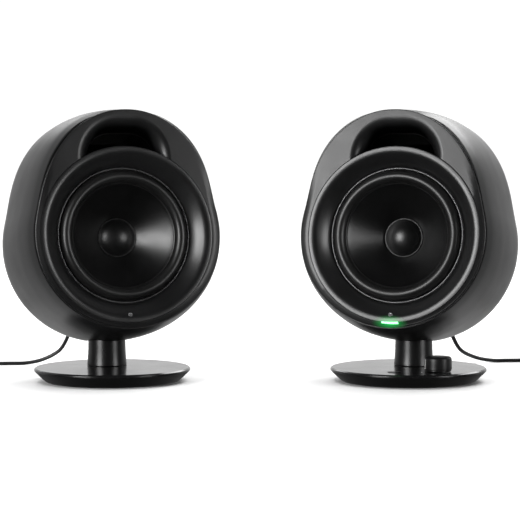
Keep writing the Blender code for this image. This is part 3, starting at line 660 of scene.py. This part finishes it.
def box_solid(name, lo, hi, bevel=0.0, seg=3):
    x0, y0, z0 = lo
    x1, y1, z1 = hi
    v = [(x, y, z) for z in (z0, z1) for x, y in ((x0, y0), (x1, y0), (x1, y1), (x0, y1))]
    ob = mesh(name, v, [(0, 3, 2, 1), (4, 5, 6, 7), (0, 1, 5, 4), (1, 2, 6, 5), (2, 3, 7, 6), (3, 0, 4, 7)])
    if bevel:
        bm = bmesh.new()
        bm.from_mesh(ob.data)
        bmesh.ops.bevel(bm, geom=bm.edges[:], offset=bevel, segments=seg, profile=0.5, affect="EDGES")
        bm.to_mesh(ob.data)
        bm.free()
    return ob


def rod_y(name, r, x, z, y0, y1, seg=32):
    return lathe(name, [(0, y0), (r, y0), (r, y1), (0, y1)], seg, "Y", (x, 0, z))


def screw(name, x, z, y, M, body):
    """Small socket-head screw, its axis along the head frame's y."""
    prof = rounded([(0, y - 0.4), (1.3, y - 0.4), (1.3, y + 0.75, .12), (2.2, y + 0.75, .4), (2.7, y + 0.25, .3),
                    (2.7, y - 1.5), (0, y - 1.5)], 3)
    ob = lathe(name, prof, 30, "Y", (x, 0, z))
    return place(ob, name, DARK_STEEL, M, body, sharp=40)


for side, s in SIDES:
    H, head, drive = head_matrix(s), side + "_head", side + "_cone_assembly"
    right = side == "right"
    py, pz = PIVOT[1], PIVOT[2]

    # cabinet shell: outer skin, small round at both lips, inner skin
    rings = [body_ring(3.3, -1.4, -0.22), body_ring(3.3, -0.35, -0.22), body_ring(3.3, -0.12, -0.14), body_ring(3.3, -0.02, 0.05),
             body_ring(3.7)]
    ys = list(np.concatenate([np.linspace(4.6, 12, 5), np.linspace(15, 96, 24), np.linspace(98.5, 111.3, 14)]))
    rings += [body_ring(y) for y in ys]
    rings += [body_ring(112.0, 0.35, -0.25), body_ring(112.0, 0.0, 0.0), body_ring(112.0, -WALL + 0.3), body_ring(112.0, -WALL, -0.3)]
    rings += [body_ring(y, -WALL) for y in (108, 104, 98, 88, 75, 55, 34, 20, 12, 6)]
    shell = loft("shell", rings, closed=True)
    slot = box_solid("slot", (-14.8, py - 16.5, pz - 40), (14.8, py + 19.6, pz), 3.2, 4)
    cut(shell, slot)
    place(shell, side + "_cabinet_skin", CABINET, H, head, (side + "_cabinet_shell",), 42)

    # rear panel with a shallow recessed field, screw seats and its openings
    outline = lambda t: egg(REAR_R - t, REAR_R - t + 14.8, 13.8, 77, N_EGG, -1.7)
    rear = loft("rear", [at(outline(0), 109.0), at(outline(0), 110.9), at(outline(0.25), 111.35), at(outline(0.8), 111.6),
                         at(outline(3.2), 111.6), at(outline(3.5), 111.3), at(outline(3.6), 110.9), at(outline(4.2), 110.9),
                         at(outline(4.3), 111.3), at(outline(4.6), 111.6)])
    cut(rear, rod_y("c", 3.4, GLAND_AT[0], GLAND_AT[1], 100, 120))
    if right:
        cut(rear, box_solid("c", (-28.3, 100, -43.3), (-15.7, 120, -32.7), 0.8, 2))
    place(rear, side + "_rear_cover", CABINET, H, head, (side + "_rear_panel",), 30, True)
    for k, (x, z) in enumerate(((-37.5, -27.5), (37.5, -27.5), (-45.0, 8.0), (45.0, 8.0), (-31.0, 44.5), (31.0, 44.5))):
        screw(f"{side}_rear_screw_{k + 1}", x, z, 111.6, H, head)

    # face: egg plate, driver hub, flared mouth of the bass port
    drop = lambda ring, k=1.25: [(x, y + k * (1 - smooth((z - 15) / 45)), z) for x, y, z in ring]
    baffle = loft("face", [face_ring(0.0, -5.3), drop(face_ring(0.0, -3.0), 0.45), drop(face_ring(0.0, -0.75)),
                           drop(face_ring(0.06, -0.5)), drop(face_ring(0.22, -0.24)), drop(face_ring(0.5, -0.06)),
                           drop(face_ring(0.85, 0.0), 0.9), face_ring(2.8, 0.0), face_ring(3.0, -0.2)])
    cut(baffle, lathe("hub", [(0, 1.0), (68.4, 1.0), (68.4, 15.3), (0, 15.3)], 128), "UNION")
    cut(baffle, loft("mouth", [at(arch(h, t, c, 50, 12), y) for y, h, t, c in
                               ((1.2, 37.4, 90.4, 33), (3, 34.4, 87.0, 30), (6, 32.0, 83.6, 26), (15.3, 29.0, 79.4, 21))]), "UNION")
    cut(baffle, lathe("hole", [(0, -2), (66.2, -2), (66.2, 12.2), (0, 12.2)], 160))
    cut(baffle, lathe("ledge", [(0, 10), (57.5, 10), (57.5, 18), (0, 18)], 128))
    flare = [at(arch(36.4, 89.7, 32.0, 50, 20), -1.0)]
    for k in range(17):
        a = 90 * k / 16
        g, y = 1 - sn(a), 14.0 * (1 - cs(a))
        flare.append(at(arch(26.6 + 9.8 * g, 77.0 + 12.7 * g, 19.0 + 13.0 * g, 50 if y < 11.8 else 56, 20), y))
    flare.append(at(arch(26.6, 77.0, 19.0, 56, 20), 18.0))
    cut(baffle, loft("flare", flare))
    if right:
        ring = [(r * sn(a), -r * cs(a)) for r, a in [(60, -6), (60, 6)]]
        ring += [(67.25 * sn(a), -67.25 * cs(a)) for a in (5.8, 4.3, 2.9, 1.45, 0, -1.45, -2.9, -4.3, -5.8)]
        cut(baffle, loft("led_slot", [at(ring, y) for y in (-2, 9)]))
    # painted shade: how far each point lies into the port's throat, which darkens the face finish there
    throat_shade = np.array([smooth((v.co.y - 0.4 - 6.0 * smooth((80 - v.co.z) / 14)) / 4.4)
                     if abs(v.co.x) < 38 and v.co.z > 45 else 0.0 for v in baffle.data.vertices], np.float32)
    baffle.data.attributes.new("throat_painted_shade", "FLOAT", "POINT").data.foreach_set("value", throat_shade)
    place(baffle, side + "_face_plate", FACE, H, head, (side + "_front_baffle",), 30, True)

    # flared ring: level rim, horn-like throat, a narrow polished lip at its foot
    prof = bezel_front(28)[:-1]
    prof += [(BEZEL_IN + 0.02, 10.1), (BEZEL_IN, 10.2)]
    bez = prof + rounded([(BEZEL_IN + 0.0, 11.9), (BEZEL_R, 11.9, .2), (BEZEL_R + 0.3, 0.5)], 3)[0:]
    bez = bez + [(BEZEL_R + 0.22, 0.28), (BEZEL_R + 0.08, 0.09)]
    bezel = lathe("bezel", bez, 192)
    if right:
        notch = [(r * sn(a), -r * cs(a)) for r, a in [(65.35, -5.6), (65.35, -2.8), (65.35, 0), (65.35, 2.8), (65.35, 5.6)]]
        notch += [(69.0 * sn(a), -69.0 * cs(a)) for a in (5.6, 0, -5.6)]
        cut(bezel, loft("notch", [at(notch, y) for y in (-2, 8.7)]))
    place(bezel, side + "_ring", RING, H, head, (side + "_driver_bezel",), 34)
    lip = [(BEZEL_IN - 0.05, 11.8)] + [(BEZEL_IN - 0.6 + 0.55 * cs(t), 10.75 - 0.6 * sn(t)) for t in range(0, 181, 15)] + [(BEZEL_IN - 1.15, 11.8)]
    place(lathe("lip", lip, 192), side + "_ring_lip", TRIM, H, head, sharp=50)

    # a plain round mark low on the ring
    front = bezel_front(28)
    seat_y = float(np.interp(-59.9, [-q[0] for q in front], [q[1] for q in front]))
    slope = math.atan2(np.interp(-59.4, [-q[0] for q in front], [q[1] for q in front])
                       - np.interp(-60.4, [-q[0] for q in front], [q[1] for q in front]), 1.0)
    dot = lathe("mark", rounded([(0, 0.3), (0, -0.15), (0.9, -0.15), (1.05, -0.3, .06), (1.6, -0.3, .1), (1.75, 0.3)], 2), 40)
    D = Matrix.Translation((0, seat_y / 1000, -0.0599)) @ Matrix.Rotation(-slope, 4, "X")
    place(dot, side + "_ring_mark", SILVER, H @ D, head, sharp=60)

    # bass port duct, near-black as painted shade
    duct = loft("duct", [at(arch(28.8, 79.2, 19, 59.8, 16), 15.6), at(arch(28.8, 79.2, 19, 59.8, 16), 72.0),
                         at(arch(26.6, 77.0, 15, 62, 16), 72.0), at(arch(26.6, 77.0, 15, 62, 16), 15.6)], closed=True)
    place(duct, side + "_port_tube", DUCT_SHADE, H, head, (side + "_port_duct",), 30)

    # surround: flange, half roll, inner flange
    crest = [(44.4 + 4.55 * cs(t), 11.0 - 5.2 * sn(t)) for t in np.linspace(4, 176, 26)]
    under = [(44.4 + 3.95 * cs(t), 11.2 - 4.6 * sn(t)) for t in np.linspace(176, 4, 20)]
    sur = [(49.7, 11.9), (49.7, 11.3), (49.35, 11.15)] + crest + [(39.5, 11.1), (38.9, 11.35), (38.9, 11.95), (40.0, 11.9)] + under + [(49.0, 11.9)]
    sur = lathe("surround", sur, 192)
    place(sur, side + "_surround_roll", RUBBER, H, sharp=60)
    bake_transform(sur)
    local = np.array([tuple(H.inverted() @ v.co) for v in sur.data.vertices]) * 1000
    rad = np.hypot(local[:, 0], local[:, 2])
    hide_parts(side + "_surround")

    # cone: gently curved, with a pressed step under the surround
    cone = []
    for k in range(25):
        t = k / 24
        r = 38.8 - (38.8 - 14.0) * t
        cone.append((r, 12.15 + 19.4 * (t ** 0.93)))
    inner = [(r + 0.35, y + 1.1) for r, y in cone[::-1]]
    cone = [(38.9, 11.98), (39.2, 12.3)][::-1] + cone[1:] + [(13.6, 31.9), (13.6, 33.1)] + inner[:-1] + [(39.0, 13.0)]
    place(lathe("cone", cone, 160), side + "_cone_body", CONE, H, drive, (side + "_cone",), 40)
    dome = []
    for k in range(13):
        t = k / 12
        r = 13.9 * t
        dome.append((r, 24.4 + (math.sqrt(19.6 ** 2) - math.sqrt(max(0, 19.6 ** 2 - r * r)))))
    y_edge = dome[-1][1]
    dome += [(14.2, y_edge + 0.15), (14.45, y_edge + 0.1), (14.75, y_edge + 0.35), (14.85, y_edge + 0.9), (14.4, y_edge + 1.6)]
    dome += [(13.4, y_edge + 1.6), (9.0, 27.9), (0, 25.6)]
    place(lathe("cap", dome, 96), side + "_cap_dome", CAP, H, drive, (side + "_dust_cap",), 50)

    # spider: a corrugated ring
    top, low = [], []
    for k in range(41):
        r = 29.5 - (29.5 - 14.0) * k / 40
        w = 0.55 * math.sin((29.0 - r) / 14.5 * math.tau * 4) if 15.0 < r < 29.0 else 0.0
        top.append((r, 36.3 + w))
        low.append((r, 36.7 + w))
    spd = place(lathe("spider", top + low[::-1], 72), side + "_spider_cloth", SPIDER, H, sharp=60)
    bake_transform(spd)
    local = np.array([tuple(H.inverted() @ v.co) for v in spd.data.vertices]) * 1000
    rad = np.hypot(local[:, 0], local[:, 2])
    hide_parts(side + "_spider")

    # strain relief, ribbed and tapering
    rr = 1.6 if right else 1.5
    g0 = 111.9
    prof = [(0, 106.2), (3.0, 106.2), (3.0, g0), (5.2, g0, .2), (5.2, g0 + 1.9, .5), (4.35, g0 + 2.5, .2)]
    y, rad0 = g0 + 3.2, 4.25
    for k in range(5):
        t = k / 5
        r0 = rad0 + (rr + 1.05 - rad0) * t
        prof += [(r0, y, .15), (r0 - 0.08, y + 1.9, .2), (r0 - 0.75, y + 2.1, .15), (r0 - 0.8, y + 3.0, .15)]
        y += 3.2
    prof += [(rr + 0.85, g0 + 19.4, .3), (rr + 0.25, g0 + 19.9, .2), (0, g0 + 19.9)]
    place(lathe("gland", rounded(prof, 2), 48, "Y", (GLAND_AT[0], 0, GLAND_AT[1])), side + "_strain_relief", BOOT, H,
          head, (side + "_cord_gland",), 40)

    if right:
        inlet = box_solid("inlet", (-28.0, 98.2, -43.0), (-16.0, 112.2, -33.0), 0.7, 3)
        cut(inlet, lathe("bore", [(1.1, 102), (3.2, 102), (3.2, 120), (1.1, 120)], 40, "Y", (-22, 0, -38)))
        place(inlet, "right_power_inlet", GLOSS, H, head, ("dc_inlet",), 30, True)
        bar_o = [(66.7 * sn(a), -66.7 * cs(a)) for a in np.linspace(5.4, -5.4, 15)]
        bar_i = [(65.42 * sn(a), -65.42 * cs(a)) for a in np.linspace(-5.4, 5.4, 15)]
        led = loft("led", [at(bar_o + bar_i, y) for y in (-0.22, 8.4)])
        place(led, "right_status_light", LED, H, head, ("led_light_bar",), 40)

# ---------------------------------------------------------------------------------------------- stands
KNOB_AT, BUTTON_AT = (29.8, -24.8), (0.0, -39.3)
for side, s in SIDES:
    S, right = stand_matrix(s), side == "right"
    prof = rounded([(0, 7.4), (46.5, 7.4), (46.5, 0.6), (50.5, 0.0, .3), (52.2, 1.0, .5), (59.9, 8.3, .35), (59.85, 9.7, .5),
                    (58.6, 10.6, .45), (0, 10.6)], 4)
    base = lathe("base", prof, 192, "Z")
    cut(base, lathe("c", [(0, 2), (4.3, 2), (4.3, 14), (0, 14)], 32, "Z", (0, COLUMN_Y, 0)))
    if right:
        cut(base, lathe("c", [(0, 5), (3.4, 5), (3.4, 14), (0, 14)], 32, "Z", (*KNOB_AT, 0)))
        cut(base, lathe("c", [(0, 5), (6.0, 5), (6.0, 14), (0, 14)], 64, "Z", (*BUTTON_AT, 0)))
    base = place(base, side + "_base_plate", (GLOSS, BASE_UNDER_SHADE), S, "root", (side + "_base_disc",), 24, True)
    # painted shade: the downward-facing bevel and underside take the darker, dull copy
    for poly in base.data.polygons:
        if poly.normal.z < -0.15 and poly.center.z < 0.0084:
            poly.material_index = 1
    foot = rounded([(0, 0.35), (38.0, 0.35), (38.6, 0.0, .2), (45.2, 0.0, .4), (45.9, 0.7, .3), (45.9, 1.9), (0, 1.9)], 3)
    place(lathe("foot", foot, 96, "Z"), side + "_rubber_foot", BOOT, S, "root", (side + "_base_foot",), 40)
    prof = rounded([(4.3, 10.9), (15.3, 10.9, .3), (15.1, 13.2, 4.0), (14.55, 22.5, 30.0), (14.3, 33.0, .4), (13.3, 34.0, .3), (4.3, 34.0)], 8)
    place(lathe("column", prof, 96, "Z", (0, COLUMN_Y, 0)), side + "_column_body", COLUMN, S, "root",
          (side + "_column",), 40)
    if right:
        prof = rounded([(3.3, 11.0), (9.6, 11.0, .2), (10.0, 11.6, .15), (10.0, 12.2, .1), (10.4, 12.7, .2), (10.3, 20.6, .6),
                        (9.4, 21.9, .9), (7.6, 22.2, .5), (0, 22.2), (0, 19.1), (3.3, 19.1)], 5)
        place(lathe("knob", prof, 128, "Z", (*KNOB_AT, 0)), "volume_knob_cap", KNOB, S, "volume_knob",
              ("volume_knob",), 40)
        # index line up the knob's side, and the dot printed on the base beside it
        ang = math.radians(-163.0) - math.radians(-TOE_IN)
        line_rings = []
        for z, r in ((12.9, 10.36), (14.0, 10.36), (17.0, 10.34), (20.0, 10.31)):
            quad = []
            for dr, da in ((-0.3, -0.036), (0.05, -0.036), (0.05, 0.036), (-0.3, 0.036)):
                quad.append((KNOB_AT[0] + (r + dr) * math.cos(ang + da), KNOB_AT[1] + (r + dr) * math.sin(ang + da), z))
            line_rings.append(quad)
        place(loft("line", line_rings), "volume_knob_index", WHITE, S, "volume_knob", sharp=30)
        q = (KNOB_AT[0] + 13.2 * math.cos(ang), KNOB_AT[1] + 13.2 * math.sin(ang), 0)
        place(lathe("dot", rounded([(0, 10.5), (0.62, 10.5), (0.62, 10.64, .03), (0, 10.64)], 2), 24, "Z", q),
              "volume_start_dot", WHITE, S, "root", sharp=40)
        prof = rounded([(0, 5.6), (6.4, 5.6), (6.4, 6.3), (5.7, 6.3), (5.7, 10.5, .25), (5.2, 10.95, .2), (0, 10.95)], 4)
        place(lathe("button", prof, 72, "Z", (*BUTTON_AT, 0)), "function_button_cap", KNOB, S, "function_button",
              ("function_button",), 34)

# ---------------------------------------------------------------------------------------------- CAD nodes that stay
STAY = {"_base_weight": STEEL, "_column_bolt": DARK_STEEL, "_tilt_tongue": DARK_STEEL, "_hinge_pin": STEEL,
        "_head_bracket": DARK_STEEL, "_top_plate": STEEL, "_pole_yoke": STEEL, "_magnet": FERRITE,
        "_driver_basket": CABINET, "_voice_coil": COPPER}
for side, s in SIDES:
    for tail_name, m in STAY.items():
        n = nodes[side + tail_name]
        n.data.materials.clear()
        n.data.materials.append(m)
for name, m in (("control_board", BOARD), ("amplifier_board", BOARD), ("volume_encoder", STEEL), ("button_switch", STEEL)):
    nodes[name].data.materials.clear()
    nodes[name].data.materials.append(m)

# ---------------------------------------------------------------------------------------------- floor and light
floor_mat = bpy.data.materials.new("floor_pale")
floor_mat.use_nodes = True
fp = floor_mat.node_tree.nodes["Principled BSDF"]
fp.inputs["Base Color"].default_value = (0.90, 0.90, 0.90, 1)
fp.inputs["Roughness"].default_value = 0.55
fp.inputs["Specular IOR Level"].default_value = 0.2
fl = bpy.data.meshes.new("floor")
fl.from_pydata([(-9, -6, 0), (9, -6, 0), (9, 14, 0), (-9, 14, 0)], [], [(0, 1, 2, 3)])
floor_ob = bpy.data.objects.new("floor", fl)
scene.collection.objects.link(floor_ob)
fl.materials.append(floor_mat)

floor_ob.visible_glossy = False

world = bpy.data.worlds.new("studio")
scene.world = world
world.use_nodes = True
nt = world.node_tree
bg = nt.nodes["Background"]
tc = nt.nodes.new("ShaderNodeTexCoord")
sep = nt.nodes.new("ShaderNodeSeparateXYZ")
nt.links.new(tc.outputs["Generated"], sep.inputs[0])
low = ramp(nt, sep.outputs["Y"], -0.10, 0.45, 0.008, 0.50)
high = ramp(nt, sep.outputs["Y"], 0.80, 0.97, 0.0, 0.56)
both = nt.nodes.new("ShaderNodeMath")
both.operation = "ADD"
nt.links.new(low, both.inputs[0])
nt.links.new(high, both.inputs[1])
below = nt.nodes.new("ShaderNodeMath")
below.operation = "MULTIPLY"
nt.links.new(ramp(nt, sep.outputs["Z"], -0.30, -0.75, 0.0, 0.45), below.inputs[0])
nt.links.new(ramp(nt, sep.outputs["Y"], 0.0, 0.4, 0.0, 1.0), below.inputs[1])
total_light = nt.nodes.new("ShaderNodeMath")
total_light.operation = "ADD"
nt.links.new(both.outputs[0], total_light.inputs[0])
nt.links.new(below.outputs[0], total_light.inputs[1])
shade = total_light.outputs[0]
mixn = nt.nodes.new("ShaderNodeMix")
mixn.data_type = "RGBA"
mixn.clamp_factor = False
mixn.inputs["A"].default_value = (0, 0, 0, 1)
mixn.inputs["B"].default_value = (1, 1, 1, 1)
nt.links.new(shade, mixn.inputs["Factor"])
nt.links.new(mixn.outputs["Result"], bg.inputs["Color"])
bg.inputs["Strength"].default_value = 1.0


def area(name, loc, target, size, power, size_y=None):
    d = bpy.data.lights.new(name, "AREA")
    d.shape = "RECTANGLE"
    d.size, d.size_y = size, size_y or size
    d.energy = power
    ob = bpy.data.objects.new(name, d)
    ob.location = loc
    ob.rotation_euler = (Vector(target) - Vector(loc)).to_track_quat("-Z", "Y").to_euler()
    scene.collection.objects.link(ob)
    return ob


def softbox(name, azimuth, elevation, distance, width, height, radiance):
    """A rectangular soft box seen from the object at that azimuth (0 is the camera's side, + to the right)."""
    a, e = math.radians(azimuth), math.radians(elevation)
    loc = Vector((math.sin(a) * math.cos(e), -math.cos(a) * math.cos(e), math.sin(e))) * distance + Vector((0, 0, 0.12))
    return area(name, loc, (0, 0, 0.12), width, radiance * math.pi * width * height, height)


softbox("key_left", -43, 12, 2.4, 1.0, 1.2, 14.0)
softbox("fill_right", 54, 9, 2.4, 0.80, 0.9, 8.5)
softbox("rim_right", 146, 36, 2.4, 1.5, 1.1, 6.0)
softbox("rim_left", -158, 27, 2.4, 0.8, 0.7, 3.0)

sun_d = bpy.data.lights.new("overhead", "SUN")
sun_d.energy = 3.6
sun_d.angle = math.radians(75)
sun = bpy.data.objects.new("overhead", sun_d)
sun.rotation_euler = (math.radians(-8), 0, 0)
sun.visible_glossy = False
scene.collection.objects.link(sun)

scene.view_settings.view_transform = "Standard"
scene.view_settings.look = "None"
scene.view_settings.exposure = 0.0
